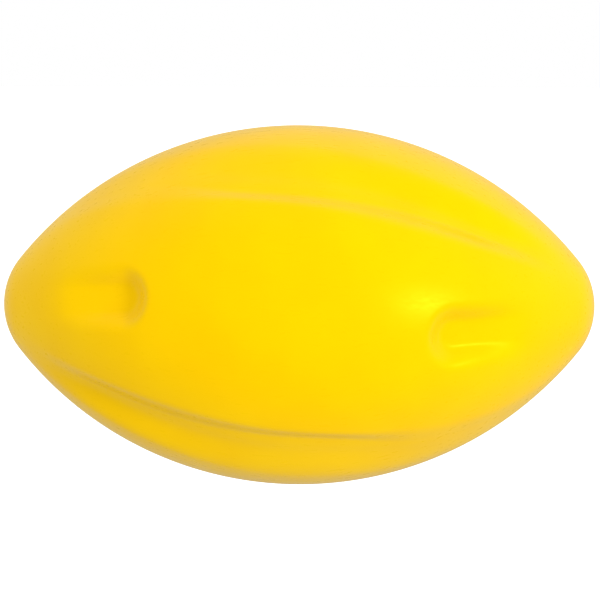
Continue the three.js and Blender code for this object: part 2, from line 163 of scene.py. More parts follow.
# %% Finger scoops
SCOOP_WALL_X = 48.7 * MM
SCOOP_END_X = 77 * MM
SCOOP_DEPTH = 5.2 * MM
SCOOP_HALF_WIDTH = 10.3 * MM
SCOOP_ROLL = math.radians(7.5)
SCOOP_WALL_SOFT = (1.6 * MM, -6.2 * MM)  # the wall's brow and foot, either side of the U outline
SCOOP_SIDE_SOFT = (2.0 * MM, 3.0 * MM)  # how much further the wall spreads along each side
SCOOP_SIDE_START = (-4 * MM, 14 * MM)  # along the scoop, where that spread begins and where it is full
SCOOP_SIDE_HALF = 12 * MM  # distance from the scoop's middle line where it is full
SCOOP_REACH = 3.9 * MM  # how far the round end reaches past the wall line, towards the middle
SCOOP_BLEND = 1.6 * MM  # how softly the floor runs out into the lobe
SCOOP_LIMIT = -20 * MM  # further towards the middle than this nothing is pressed
SCOOP_FLOOR_R = float(outline_radius(SCOOP_WALL_X)) - SCOOP_DEPTH
SCOOP_FALL = SCOOP_FLOOR_R - float(outline_radius(SCOOP_END_X))
SCOOP_PITCH = math.atan2(SCOOP_FALL, SCOOP_END_X - SCOOP_WALL_X)


def press_scoop(points, inset, turned_round):
    """Presses one scoop into the front lobe's points, the left one if turned_round."""
    flip = np.array([-1, 1, -1]) if turned_round else np.ones(3)
    p = points * flip
    c, s = math.cos(SCOOP_ROLL), math.sin(SCOOP_ROLL)
    y, z = p[..., 1] * c + p[..., 2] * s, -p[..., 1] * s + p[..., 2] * c
    dx, dy = p[..., 0] - SCOOP_WALL_X, y + SCOOP_FLOOR_R
    cp, sp = math.cos(SCOOP_PITCH), math.sin(SCOOP_PITCH)
    along, height = dx * cp + dy * sp, dx * sp - dy * cp + inset
    centre = SCOOP_HALF_WIDTH - SCOOP_REACH
    round_end = np.hypot(along - centre, z)
    outside = np.where(along < centre, round_end, np.abs(z)) - SCOOP_HALF_WIDTH - inset
    lean = ease(0, SCOOP_SIDE_HALF, np.abs(z)) * ease(*SCOOP_SIDE_START, along)
    spread = np.where(z > 0, SCOOP_SIDE_SOFT[0], SCOOP_SIDE_SOFT[1]) * lean
    mask = 1 - ease(SCOOP_WALL_SOFT[1] - spread, SCOOP_WALL_SOFT[0], outside)
    sink = 0.5 * (height + np.sqrt(height**2 + SCOOP_BLEND**2)) * mask * (dx > SCOOP_LIMIT)
    x2, y2 = p[..., 0] - sink * sp, y + sink * cp
    out = np.stack([x2, y2 * c - z * s, y2 * s + z * c], axis=-1)
    return out * flip


def lobe_surface(x, angle, inset=0.0):
    """Points of the front half's surface: x in metres, angle in degrees from -Y towards +Z."""
    radius = outline_radius(x, inset)
    radius = np.maximum(radius - flute_depth(x, angle), 0)
    turn = np.radians(angle)
    points = np.stack([x + 0 * turn, -radius * np.cos(turn), radius * np.sin(turn)], axis=-1)
    for turned_round in (False, True):
        points = press_scoop(points, inset, turned_round)
    return points


print(f"scoop floor leans {math.degrees(SCOOP_PITCH):.1f} degrees")

# %% [markdown]
# ## A skin over loops
#
# Nearly every piece in this capsule is moulded, turned or bent, so a few small tools make them all. The
# first one, `loft`, skins a row of closed loops and caps its ends, and the others build on it. The result
# is always one closed skin, with smooth faces and a crisp line only where two faces meet at a real
# corner.

# %% Loft
def new_piece(name, mesh):
    piece = bpy.data.objects.new(name, mesh)
    bpy.context.scene.collection.objects.link(piece)
    return piece


def shade(mesh, sharp=35):
    mesh.polygons.foreach_set("use_smooth", [True] * len(mesh.polygons))
    mesh.set_sharp_from_angle(angle=math.radians(sharp))


def loft(name, rows, ring=False):
    """A skin over closed loops of points in metres, capped at both ends unless ring is true."""
    rows = np.asarray(rows)
    count, around = rows.shape[:2]
    grid = bmesh.new()
    loops = [[grid.verts.new(point) for point in row] for row in rows]
    for i in range(count if ring else count - 1):
        low, high = loops[i], loops[(i + 1) % count]
        for j in range(around):
            k = (j + 1) % around
            grid.faces.new((low[j], low[k], high[k], high[j]))
    if not ring:
        for loop in (loops[0], loops[-1]):
            middle = grid.verts.new(sum((v.co for v in loop), Vector()) / around)
            for j in range(around):
                grid.faces.new((loop[j], loop[(j + 1) % around], middle))
    bmesh.ops.recalc_face_normals(grid, faces=grid.faces)
    mesh = bpy.data.meshes.new(name)
    grid.to_mesh(mesh)
    grid.free()
    shade(mesh)
    return new_piece(name, mesh)


print("made:", loft.__name__)

# %% [markdown]
# ## A lathe
#
# Pins, caps, seals and the gas cylinder are all round about one axis. `turned` takes half a section, as a
# lathe's drawing gives it, and lays it round the axis. `rounded` first puts the small radius on every
# corner that a real tool leaves, because a dead sharp edge catches no light.

# %% Lathe
NEAREST = 0.01  # mm from the axis to a profile's end, so that the loops there stay open
STRAIGHT_SHARE = 0.45  # the most of an edge that one corner's arc may use


def rounded(pairs, radius, steps=4):
    """The profile with a small arc at each corner. Pairs are (along, radius). A loop ends where it starts."""
    points = [np.array(p, float) for p in pairs]
    closed = np.allclose(points[0], points[-1])
    if closed:
        points = points[:-1]
    out = []
    for i, corner in enumerate(points):
        if not closed and i in (0, len(points) - 1):
            out.append(corner)
            continue
        before, after = points[i - 1], points[(i + 1) % len(points)]
        a, b = before - corner, after - corner
        reach = min(radius, STRAIGHT_SHARE * np.linalg.norm(a), STRAIGHT_SHARE * np.linalg.norm(b))
        a, b = a / np.linalg.norm(a) * reach, b / np.linalg.norm(b) * reach
        for t in np.linspace(0, 1, steps + 1):
            out.append(corner + a * (1 - t) ** 2 + b * t**2)
    return out + out[:1] if closed else out


def turned(name, axis, centre, pairs, corner=0.3, sides=96, shape=None):
    """A turned piece about x, y or z through centre. All in millimetres. shape may change each radius."""
    profile = np.array(rounded(pairs, corner))
    ring = np.allclose(profile[0], profile[-1])
    along, radius = (profile[:-1] if ring else profile).T
    radius = np.maximum(radius, NEAREST)
    turn = np.linspace(0, 2 * math.pi, sides, endpoint=False)
    radii = np.repeat(radius[:, None], sides, axis=1)
    if shape:
        radii = shape(along[:, None], turn[None, :], radii)
    u, v = radii * np.cos(turn), radii * np.sin(turn)
    w = np.repeat(along[:, None], sides, axis=1)
    stack = {"x": (w, u, v), "y": (v, w, u), "z": (u, v, w)}[axis]
    points = np.stack(stack, axis=-1) + np.array(centre)
    return loft(name, points * MM, ring=ring)


print("made:", rounded.__name__, turned.__name__)

# %% [markdown]
# ## A rod or tube along a path
#
# Springs are wound from wire and the mouth tube is bent, so both are one round section carried along a
# path. The section is turned as little as possible from step to step, which keeps the skin from twisting.

# %% Sweep
SECTION_START = (0.3, 0.9, 0.4)  # any direction that no path here starts in


def swept(name, path, radius, bore=0.0, sides=20):
    """A round rod or tube along a path of points in millimetres."""
    path = np.asarray(path, float)
    tangent = np.gradient(path, axis=0)
    tangent /= np.linalg.norm(tangent, axis=1)[:, None]
    across = np.cross(tangent[0], SECTION_START)
    turn = np.linspace(0, 2 * math.pi, sides, endpoint=False)
    circles = []
    for direction in tangent:
        across = across - direction * across.dot(direction)
        across /= np.linalg.norm(across)
        up = np.cross(direction, across)
        circles.append(np.cos(turn)[:, None] * across + np.sin(turn)[:, None] * up)
    circles = np.array(circles)
    rows = path[:, None, :] + radius * circles
    if bore:
        rows = np.concatenate([rows, (path[:, None, :] + bore * circles)[::-1]])
    return loft(name, rows * MM, ring=bool(bore))


print("made:", swept.__name__)

# %% [markdown]
# ## Cut, join and fit
#
# Where a piece needs a hole across its axis, `cut` takes it out with a boolean. `join` adds what belongs
# to the same moulding. `fit` comes last for each piece: it gives the material, says which body the piece
# moves with and which piece of the frame it stands for.

# %% Cut, join and fit
def cut(piece, cutters):
    """Takes the cutters out of the piece, which has to be one closed skin."""
    for cutter in cutters:
        modifier = piece.modifiers.new("cut", "BOOLEAN")
        modifier.operation = "DIFFERENCE"
        modifier.solver = "EXACT"
        modifier.object = cutter
    settle(piece)
    for cutter in cutters:
        bpy.data.objects.remove(cutter)


def even_shading(piece):
    """Keeps flat faces flat to the eye where they meet small rounds."""
    even = piece.modifiers.new("even shading on flat faces", "WEIGHTED_NORMAL")
    even.keep_sharp = True


def settle(piece):
    """Makes the piece's modifiers permanent."""
    depsgraph = bpy.context.evaluated_depsgraph_get()
    mesh = bpy.data.meshes.new_from_object(piece.evaluated_get(depsgraph))
    piece.modifiers.clear()
    piece.data = mesh
    shade(mesh)


def join(piece, extras):
    with bpy.context.temp_override(active_object=piece, selected_editable_objects=[piece, *extras]):
        bpy.ops.object.join()


def fit(piece, material, body, slot, *nodes):
    """Gives a finished piece its material, its body and the CAD nodes it stands for. slot is not used."""
    piece.data.materials.clear()
    piece.data.materials.append(material)
    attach(piece, body)
    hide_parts(*nodes)
    print(f"{piece.name}: {len(piece.data.polygons)} faces, rides on {body}")


print("made:", cut.__name__, join.__name__, fit.__name__)

# %% [markdown]
# ## One recipe for every finish
#
# No real surface is one flat colour. Each finish here starts from two near colours mixed by a slow noise,
# as resin, plating and rubber vary from place to place. A fine noise gives the surface its grain as a
# bump of real height. Thin scuffs change the gloss, and outer corners, where hands and other parts rub,
# turn a little paler and duller. All noise is measured in millimetres, so a grain looks the same on a
# large piece and on a small one.

# %% Finishes
PATCH_EDGES = (0.35, 0.65)  # noise values between which one colour turns into the other
CORNER_WEAR = (0.53, 0.62)  # pointiness where wear begins and where it is full
WEAR_COVER = 0.6  # share of the worn colour on a fully worn corner
WEAR_DULLS = 0.2  # roughness that full wear would add
MARK_SIZE = 1.2  # mm
MARK_EDGES = (0.35, 0.75)


def link_noise(tree, place, size, detail=3.0, stretch=None):
    """A noise whose features are about size millimetres across, drawn out along an axis by stretch."""
    texture = tree.nodes.new("ShaderNodeTexNoise")
    texture.inputs["Scale"].default_value = 1 / (size * MM)
    texture.inputs["Detail"].default_value = detail
    if stretch:
        mapping = tree.nodes.new("ShaderNodeMapping")
        mapping.inputs["Scale"].default_value = [1 / s for s in stretch]
        tree.links.new(place, mapping.inputs["Vector"])
        place = mapping.outputs["Vector"]
    tree.links.new(place, texture.inputs["Vector"])
    return texture.outputs["Fac"]


def link_range(tree, value, low, high, to_low, to_high):
    spread = tree.nodes.new("ShaderNodeMapRange")
    for socket, number in zip(("From Min", "From Max", "To Min", "To Max"), (low, high, to_low, to_high)):
        spread.inputs[socket].default_value = number
    tree.links.new(value, spread.inputs["Value"])
    return spread.outputs["Result"]


def link_mix(tree, share, first, second):
    mix = tree.nodes.new("ShaderNodeMix")
    mix.data_type = "RGBA"
    tree.links.new(share, mix.inputs["Factor"])
    for socket, colour in ((6, first), (7, second)):
        if isinstance(colour, tuple):
            mix.inputs[socket].default_value = (*colour, 1)
        else:
            tree.links.new(colour, mix.inputs[socket])
    return mix.outputs[2]


def link_math(tree, operation, first, second):
    sums = tree.nodes.new("ShaderNodeMath")
    sums.operation = operation
    for socket, value in zip(sums.inputs, (first, second)):
        if isinstance(value, (int, float)):
            socket.default_value = value
        else:
            tree.links.new(value, socket)
    return sums.outputs[0]


def finish(name, colours, worn, gloss, patch=14, grain=(0.5, 0.006), scuff=None, metal=0.0, height=None,
           **sockets):
    """gloss is the roughness, smoothest to dullest. grain is (size, height) and may name its detail too."""
    material = bpy.data.materials.new(name)
    material.use_nodes = True
    tree = material.node_tree
    shader = tree.nodes["Principled BSDF"]
    place = tree.nodes.new("ShaderNodeTexCoord").outputs["Object"]
    shape = tree.nodes.new("ShaderNodeNewGeometry").outputs["Pointiness"]
    corner = link_range(tree, shape, *CORNER_WEAR, 0.0, WEAR_COVER)
    patches = link_range(tree, link_noise(tree, place, patch), *PATCH_EDGES, 0.0, 1.0)
    colour = link_mix(tree, patches, *colours)
    tree.links.new(link_mix(tree, corner, colour, worn), shader.inputs["Base Color"])
    marks = link_noise(tree, place, MARK_SIZE, 4.0, scuff or (1, 1, 1))
    rough = link_range(tree, marks, *MARK_EDGES, *gloss)
    duller = link_math(tree, "MULTIPLY", corner, WEAR_DULLS)
    tree.links.new(link_math(tree, "ADD", rough, duller), shader.inputs["Roughness"])
    bump = tree.nodes.new("ShaderNodeBump")
    bump.inputs["Distance"].default_value = grain[1] * MM
    rise = height(tree, place) if height else link_noise(tree, place, grain[0], *grain[2:])
    tree.links.new(rise, bump.inputs["Height"])
    tree.links.new(bump.outputs["Normal"], shader.inputs["Normal"])
    shader.inputs["Metallic"].default_value = metal
    for socket, value in sockets.items():
        shader.inputs[socket.replace("_", " ")].default_value = value
    return material


print("made:", finish.__name__)

# %% [markdown]
# ## Weaves
#
# The ring's fabric and the bands are woven, so their bump is a real weave of crossed waves rather than
# noise. Webbing is woven with one set of threads much thicker than the other, which is what its ribs are.

# %% Weaves for the fabric and the bands
WAVE_PITCH = 0.314  # the wave texture's pitch at a scale of 1, a twentieth of a full turn in radians


def weave(pitch, rib=1.0):
    """Height of a plain weave. A rib above 1 makes one set of threads stand out, as in webbing."""

    def height(tree, place):
        waves = []
        for direction, strength in (("X", 1.0), ("DIAGONAL", rib)):
            wave = tree.nodes.new("ShaderNodeTexWave")
            wave.bands_direction = direction
            wave.inputs["Scale"].default_value = WAVE_PITCH / (pitch * MM)
            wave.inputs["Distortion"].default_value = 0.4
            tree.links.new(place, wave.inputs["Vector"])
            waves.append(link_math(tree, "MULTIPLY", wave.outputs["Fac"], strength))
        return link_math(tree, "ADD", *waves)

    return height


print("made:", weave.__name__)

# %% [markdown]
# ## The plastics
#
# The shells are moulded in a bright yellow resin, a little glossy, with the faint ripple that cooling
# leaves, and the sensor cap in the same resin with a drier grain. The cradle and the inflator are grained
# engineering plastic. Pins and mouthpiece are natural nylon, which lets a little light in, so it looks
# milky.

# %% Plastics
YELLOW = finish("yellow_moulded_plastic", ((0.95, 0.585, 0.0), (0.93, 0.56, 0.0)), (0.97, 0.66, 0.04),
                (0.27, 0.36), patch=22, grain=(3.5, 0.004, 0.0), scuff=(6, 1, 1),
                Specular_Tint=(1.0, 0.75, 0.02, 1), IOR=1.36, Specular_IOR_Level=0.5)
CAP_YELLOW = finish("yellow_cap_plastic", ((0.93, 0.55, 0.0), (0.88, 0.5, 0.0)), (0.97, 0.66, 0.08),
                    (0.34, 0.48), grain=(0.4, 0.01))
NYLON = finish("natural_nylon", ((0.78, 0.76, 0.68), (0.7, 0.68, 0.59)), (0.86, 0.85, 0.8), (0.38, 0.52),
               grain=(0.5, 0.008), Subsurface_Weight=0.25, Subsurface_Radius=(0.0012, 0.001, 0.0008))
GREY = finish("grained_grey_plastic", ((0.075, 0.085, 0.095), (0.06, 0.068, 0.078)), (0.14, 0.15, 0.16),
              (0.42, 0.62), grain=(0.35, 0.03))
BLACK = finish("grained_black_plastic", ((0.014, 0.014, 0.016), (0.022, 0.022, 0.024)), (0.06, 0.06, 0.062),
               (0.36, 0.56), grain=(0.3, 0.025))
GREEN = finish("green_plastic", ((0.02, 0.27, 0.07), (0.015, 0.21, 0.05)), (0.1, 0.4, 0.15), (0.25, 0.4),
               grain=(0.5, 0.006), Subsurface_Weight=0.15, Subsurface_Radius=(0.0004, 0.0012, 0.0005))
print("plastics:", len(bpy.data.materials))

# %% [markdown]
# ## Metals, rubber and fibre
#
# The cylinder is plated steel, drawn lengthwise, so its marks run along it. The springs and screws are
# plain stainless. The ring's fabric is coated and bright so that it is seen in the water, and the bands
# are dark webbing. The bobbin is pressed cellulose, as dry and matt as card.

# %% Metals, rubber and fibre
PLATED = finish("plated_steel", ((0.62, 0.63, 0.64), (0.54, 0.55, 0.55)), (0.72, 0.72, 0.7), (0.24, 0.36),
                patch=9, grain=(0.25, 0.006), scuff=(14, 1, 1), metal=1.0)
STAINLESS = finish("stainless_steel", ((0.6, 0.59, 0.57), (0.5, 0.49, 0.48)), (0.7, 0.7, 0.68), (0.16, 0.34),
                   patch=3, grain=(0.2, 0.003), metal=1.0)
RUBBER = finish("black_rubber", ((0.02, 0.02, 0.02), (0.035, 0.034, 0.033)), (0.09, 0.088, 0.085),
                (0.62, 0.85), patch=5, grain=(0.3, 0.015))
FABRIC = finish("coated_orange_fabric", ((0.78, 0.13, 0.012), (0.7, 0.1, 0.01)), (0.9, 0.26, 0.06),
                (0.42, 0.62), patch=18, grain=(0.5, 0.05), height=weave(0.55), Sheen_Weight=0.25,
                Sheen_Roughness=0.4)
WEBBING = finish("ribbed_webbing", ((0.014, 0.018, 0.026), (0.022, 0.028, 0.038)), (0.07, 0.08, 0.1),
                 (0.8, 0.95), patch=4, height=weave(0.7, 2.0), grain=(0.7, 0.14))
CELLULOSE = finish("pressed_cellulose", ((0.72, 0.66, 0.53), (0.6, 0.54, 0.42)), (0.8, 0.76, 0.66),
                   (0.88, 1.0), patch=1.5, grain=(0.25, 0.1))
print("materials:", len(bpy.data.materials))

# %% [markdown]
# ## The half shells
#
# A moulded half shell is a skin of even thickness: an outer face, an inner face that follows it, and a
# flat rim where it meets its twin. Two grids of points, one for each face, are stitched along the rim. A
# closed grid like this shades more cleanly than a boolean of solids, and its edge can carry the small
# round that a mould leaves.

# %% Build one half shell as a closed skin
WALL = 2.4 * MM
JOINT_GAP = 0.13 * MM
EDGE_ROUND = 0.35 * MM
ROWS = 260
OUTER_COLUMNS = 170
INNER_COLUMNS = 60
EDGE_STEPS = 3
TIP_SHARE = 0.4  # near the tips the edge's round takes at most this share of the rim's height


def face_grid(inset, columns, edge_steps):
    """Rows from tip to tip, columns from the lower rim to the upper one. The last columns round the rim."""
    t = np.linspace(0, math.pi, ROWS + 1)[1:-1]
    x = -(HALF_LENGTH - inset) * np.cos(t)
    angle = np.linspace(-90, 90, columns + 1)
    points = lobe_surface(x[:, None], angle[None, :], inset)
    flat = JOINT_GAP + (EDGE_ROUND if edge_steps else 0)
    points[..., 1] = np.minimum(points[..., 1], -flat)
    if not edge_steps:
        return points
    lower, upper = [], []
    for k in range(1, edge_steps + 1):
        turn = 0.5 * math.pi * k / edge_steps
        back = EDGE_ROUND * math.sin(turn)
        shrink = EDGE_ROUND * (1 - math.cos(turn))
        for side, rim in ((lower, points[:, :1]), (upper, points[:, -1:])):
            step = rim.copy()
            step[..., 1] = -flat + back
            step[..., 2] -= np.sign(step[..., 2]) * np.minimum(shrink, TIP_SHARE * np.abs(step[..., 2]))
            side.append(step)
    return np.concatenate(lower[::-1] + [points] + upper, axis=1)


def grid_faces(rows, columns, start, flip):
    faces = []
    for i in range(rows - 1):
        for j in range(columns - 1):
            a = start + i * columns + j
            quad = (a, a + 1, a + columns + 1, a + columns)
            faces.append(quad[::-1] if flip else quad)
    return faces


def half_shell(name):
    outer = face_grid(0.0, OUTER_COLUMNS, EDGE_STEPS)
    inner = face_grid(WALL, INNER_COLUMNS, 0)
    rows, wide, narrow = outer.shape[0], outer.shape[1], inner.shape[1]
    start = rows * wide
    tips = [(s * (HALF_LENGTH - i), -JOINT_GAP, 0) for i in (0.0, WALL) for s in (-1, 1)]
    points = np.concatenate([outer.reshape(-1, 3), inner.reshape(-1, 3), np.array(tips)])
    out_tip, in_tip = start + rows * narrow, start + rows * narrow + 2
    faces = grid_faces(rows, wide, 0, False) + grid_faces(rows, narrow, start, True)
    last = rows - 1
    for j in range(wide - 1):
        faces.append((out_tip, j + 1, j))
        faces.append((out_tip + 1, last * wide + j, last * wide + j + 1))
    for j in range(narrow - 1):
        faces.append((in_tip, start + j, start + j + 1))
        faces.append((in_tip + 1, start + last * narrow + j + 1, start + last * narrow + j))
    for i in range(rows - 1):
        a, b = i * wide, start + i * narrow
        faces.append((a, a + wide, b + narrow, b))
        a, b = a + wide - 1, b + narrow - 1
        faces.append((a, b, b + narrow, a + wide))
    faces += [(out_tip, 0, start, in_tip), (out_tip, in_tip, start + narrow - 1, wide - 1)]
    a, b = last * wide, start + last * narrow
    faces += [(out_tip + 1, in_tip + 1, b, a)]
    faces += [(out_tip + 1, a + wide - 1, b + narrow - 1, in_tip + 1)]
    mesh = bpy.data.meshes.new(name)
    mesh.from_pydata([tuple(p) for p in points], [], faces)
    mesh.validate()
    shade(mesh, 60)
    return new_piece(name, mesh)


front_shell = half_shell("front_shell_moulded")
rear_shell = half_shell("rear_shell_moulded")
rear_shell.data.transform(Matrix.Rotation(math.pi, 4, "X"))
print("faces in one shell:", len(front_shell.data.polygons))

# %% [markdown]
# ## What the shells carry
#
# Four hollow bosses in each half take the nylon shear pins. The rear half also has the locating lip,
# which slides inside the front half's rim so that the joint can't step, and two posts for the inflator's
# cradle. Each foot is trimmed to stay inside the wall.

# %% Bosses, posts and lip
PIN_X, PIN_Z = 78.0, 27.0
POST_PLACES = (-38.0, 26.0)
LIP_HALF_LENGTH = 68.0
LIP_INSETS = (2.7 * MM, 4.2 * MM)  # from the skin to the lip's two faces
FOOT_COVER = 0.9 * MM  # skin left over each foot


def trim_to_wall(piece, inset=FOOT_COVER):
    """Pulls whatever would poke through the skin back inside the wall."""
    for vertex in piece.data.vertices:
        x, y, z = vertex.co
        angle = math.degrees(math.atan2(z, -y)) if y < 0 else math.degrees(math.atan2(-z, y))
        limit = float(outline_radius(x, inset) - flute_depth(x, angle))
        radius = math.hypot(y, z)
        if radius > limit:
            vertex.co.y, vertex.co.z = y * limit / radius, z * limit / radius


def pin_bosses(side):
    profile = [(0.15, 2.1), (0.15, 4), (9, 4), (12, 5.2), (12, 0), (8.6, 0), (8.6, 2.1), (0.15, 2.1)]
    places = [(i * PIN_X, 0, j * PIN_Z) for i in (-1, 1) for j in (-1, 1)]
    pairs = [(side * along, radius) for along, radius in profile]
    return [turned(f"boss_{k}", "y", place, pairs, 0.3, 48) for k, place in enumerate(places)]


def cradle_posts():
    profile = [(24.8, 1.6), (24.8, 5), (46, 5), (54, 7.5), (60, 8), (60, 0), (39.8, 0), (39.8, 1.6),
               (24.8, 1.6)]
    return [turned(f"post_{x:.0f}", "y", (x, 0, 0), profile, 0.5, 56) for x in POST_PLACES]


def locating_lip(side):
    x = np.linspace(-LIP_HALF_LENGTH, LIP_HALF_LENGTH, 120)
    out, inner = [outline_radius(x * MM, inset) / MM for inset in LIP_INSETS]
    section = [(-3, out - 0.8), (-2.4, out - 0.1), (-1.6, out), (0.6, out), (0.9, out + 0.9), (4, out + 0.9),
               (4, inner), (-2.6, inner), (-3, inner + 0.4)]
    rows = [[(px, y, side * math.sqrt(r[i] ** 2 - y * y)) for y, r in section] for i, px in enumerate(x)]
    return loft(f"lip_{side}", np.array(rows) * MM)


front_extras = pin_bosses(-1)
rear_extras = pin_bosses(1) + cradle_posts() + [locating_lip(1), locating_lip(-1)]
for extra in front_extras + rear_extras:
    trim_to_wall(extra)
print(f"front half carries {len(front_extras)} pieces, rear half {len(rear_extras)}")

# %% [markdown]
# ## Water inlets
#
# Eight small holes on the floors of the rear flutes let water in to the sensor. Each gets a slight
# countersink, because a bare edge would cut a wet hand and would look drawn on. They are cut while the
# shell is still one plain skin, since a boolean works best on a mesh without loose islands.

# %% Water inlets
INLET_R = 1.7
INLET_PLACES = (8.0, 20.0, 32.0, 44.0)
INLET_FROM_EDGE = 10  # degrees from the flute's edge to the middle of its floor
COUNTERSINK = 1.4
CUTTER_REACH = (12, 8)  # how far a cutter goes in from the skin and out from it


def inlet_cutter(x, side):
    from_lobe = side * (float(flute_edge(side * x * MM)) + INLET_FROM_EDGE)
    skin = (float(outline_radius(x * MM)) - FLUTE_DEPTH) / MM
    low, high = skin - CUTTER_REACH[0], skin + CUTTER_REACH[1]
    wide = INLET_R + COUNTERSINK
    profile = [(low, 0), (low, INLET_R), (skin - 0.5, INLET_R), (skin + 1.2, wide), (high, wide), (high, 0)]
    cutter = turned(f"inlet_{x:.0f}_{side}", "y", (0, 0, 0), profile, 0.1, 40)
    turn = Matrix.Rotation(math.radians(-from_lobe), 4, "X")
    cutter.data.transform(Matrix.Translation((side * x * MM, 0, 0)) @ turn)
    return cutter


cut(rear_shell, [inlet_cutter(x, side) for x in INLET_PLACES for side in (1, -1)])
shade(rear_shell.data, 50)
print("inlets:", 2 * len(INLET_PLACES))

# %% [markdown]
# ## Two finished halves
#
# Bosses, posts and lip belong to the moulding, so they are joined to their half and share its resin. The
# front half is a body of its own, because it comes off when the ring swells.

# %% Join what the shells carry and finish them
join(front_shell, front_extras)
join(rear_shell, rear_extras)
fit(front_shell, YELLOW, "front_shell", "shell", "front_shell")
fit(rear_shell, YELLOW, "capsule", "shell", "rear_shell")

# %% [markdown]
# ## Shear pins
#
# The pins line the two halves up. They are turned nylon with a thin waist in the joint plane, so they
# snap there when the ring swells and let the front half go.

# %% Shear pins
PIN_PROFILE = [(-8, 0), (-8, 1.2), (-7, 1.8), (-1, 1.8), (-0.5, 1.2), (0.5, 1.2), (1, 1.8), (7, 1.8),
               (8, 1.2), (8, 0)]
for k, (i, j) in enumerate([(-1, -1), (-1, 1), (1, -1), (1, 1)], 1):
    pin = turned(f"nylon_shear_pin_{k}", "y", (i * PIN_X, 0, j * PIN_Z), PIN_PROFILE, 0.15, 40)
    fit(pin, NYLON, "capsule", "nylon", f"shear_pin_{k}")

# %% [markdown]
# ## Cradle and screws
#
# The cradle is a moulded plate with two cylinder clips, held to the posts by two screws. Its shape is
# already exact in the frame, so it keeps that mesh and only gains the small rounds that moulding gives.
# The two screws get the same treatment.

# %% Cradle and screws, kept from the frame with rounded edges
def dress(node, material, edge):
    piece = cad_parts[node]
    piece.data.materials.clear()
    piece.data.materials.append(material)
    bevel = piece.modifiers.new("moulded edges", "BEVEL")
    bevel.width = edge * MM
    bevel.segments = 3
    bevel.limit_method = "ANGLE"
    bevel.angle_limit = math.radians(35)
    bevel.harden_normals = True
    print(f"{node}: edges rounded by {edge} mm")


dress("inflator_cradle", GREY, 0.4)
for k in (1, 2):
    dress(f"cradle_screw_{k}", STAINLESS, 0.1)

# %% [markdown]
# ## Gas cylinder
#
# A small gas cylinder is drawn from one steel blank: a domed foot, a long plain wall and a shoulder spun
# in to a threaded neck. The thread is cut as rings here. At this size a real helix would look the same
# and would only make the mesh harder to close.

# %% Gas cylinder and its seal
AXIS_Y = 6.0
AXIS = (0, AXIS_Y, 0)  # a point on the line that cylinder, striker and cap share
THREAD_PITCH = 0.8


def arc(x, r, radius, start, end, steps=7):
    turns = np.radians(np.linspace(start, end, steps))
    return [(x + radius * math.cos(t), r + radius * math.sin(t)) for t in turns]


def cylinder_profile():
    foot = [(-80, 0)] + arc(-75, 6, 5, 180, 90)
    thread = []
    for x in np.arange(-0.4, 7.4, THREAD_PITCH):
        thread += [(x, 4.55), (x + 0.3, 5.0), (x + 0.5, 5.0), (x + 0.75, 4.55)]
    shoulder = arc(-13, 4, 7, 90, 30) + [(-3.6, 5.6), (-1.2, 4.8)]
    return foot + shoulder + thread + [(8, 4.4), (8, 1.6), (-2, 1.6), (-2, 0)]


gas_cylinder = turned("plated_gas_cylinder", "x", AXIS, cylinder_profile(), 0.12)
fit(gas_cylinder, PLATED, "gas_cylinder", "cylinder_steel", "co2_cylinder")
seal_profile = [(8.3, 2.2), (8.3, 5), (9.7, 5), (9.7, 2.2), (8.3, 2.2)]
seal = turned("cylinder_face_seal", "x", AXIS, seal_profile, 0.5)
fit(seal, RUBBER, "capsule", "rubber", "cylinder_seal")

# %% [markdown]
# ## Inflator
#
# The inflator is one moulded block with a long bore for the striker, a cross bore for the port to the
# ring and a round spigot that carries the sensor. Moulders thin such a block with shallow pockets in its
# sides so that it cools evenly, and those pockets are what makes it read as a moulding rather than a
# brick.

# %% Inflator body
BLOCK_Y, BLOCK_Z = (-12.5, 19.0), 13.8
POCKETS = ((7, 17), (32, 42), (20, 29))  # from and to, along the block
POCKET_Y, POCKET_Z = (-14.5, -11.7), 9.8
BORES = ((2, 10, 5.3), (9, 21, 2.0), (20, 47, 5.3))  # from, to and radius, along the striker's axis
PORT = (24, -5, 0)  # a point on the axis of the port to the ring


def rounded_loop(y0, y1, half, corner, steps=8):
    loop = []
    for cy, cz, start in ((y1, half, 0), (y0, half, 90), (y0, -half, 180), (y1, -half, 270)):
        y = cy - corner if cy == y1 else cy + corner
        z = math.copysign(half - corner, cz)
        for t in np.radians(np.linspace(start, start + 90, steps)):
            loop.append((y + corner * math.cos(t), z + corner * math.sin(t)))
    return loop


def moulded_block(name, x0, x1, y0, y1, half, corner, edge):
    rows = []
    for x, sign in ((x0, 1), (x1, -1)):
        steps = []
        for t in np.radians(np.linspace(0, 90, 5)):
            inset = edge * (1 - math.sin(t))
            loop = rounded_loop(y0 + inset, y1 - inset, half - inset, max(corner - inset, 0.1))
            steps.append([(x + sign * edge * (1 - math.cos(t)), y, z) for y, z in loop])
        rows += steps if sign > 0 else steps[::-1]
    return loft(name, np.array(rows) * MM)


def make_inflator():
    block = moulded_block("moulded_inflator", 3, 46, *BLOCK_Y, BLOCK_Z, 3, 0.7)
    cutters = [moulded_block("pocket", *span, *POCKET_Y, POCKET_Z, 1.2, 0.5) for span in POCKETS]
    for x0, x1, radius in BORES:
        cutters.append(turned("bore", "x", AXIS, [(x0, 0), (x0, radius), (x1, radius), (x1, 0)], 0.01))
    cutters.append(turned("port", "z", PORT, [(-20, 0), (-20, 4.3), (20, 4.3), (20, 0)], 0.01))
    cut(block, cutters)
    even_shading(block)
    spigot = [(45.4, 5.3), (45.4, 10.5), (48.4, 10.5), (48.8, 9.8), (49.8, 9.8), (50.2, 10.5), (52, 10.5),
              (52, 5.3), (45.4, 5.3)]
    collar = turned("spigot", "x", AXIS, spigot, 0.2)
    join(block, [collar])
    return block


fit(make_inflator(), BLACK, "capsule", "black_plastic", "inflator_body")
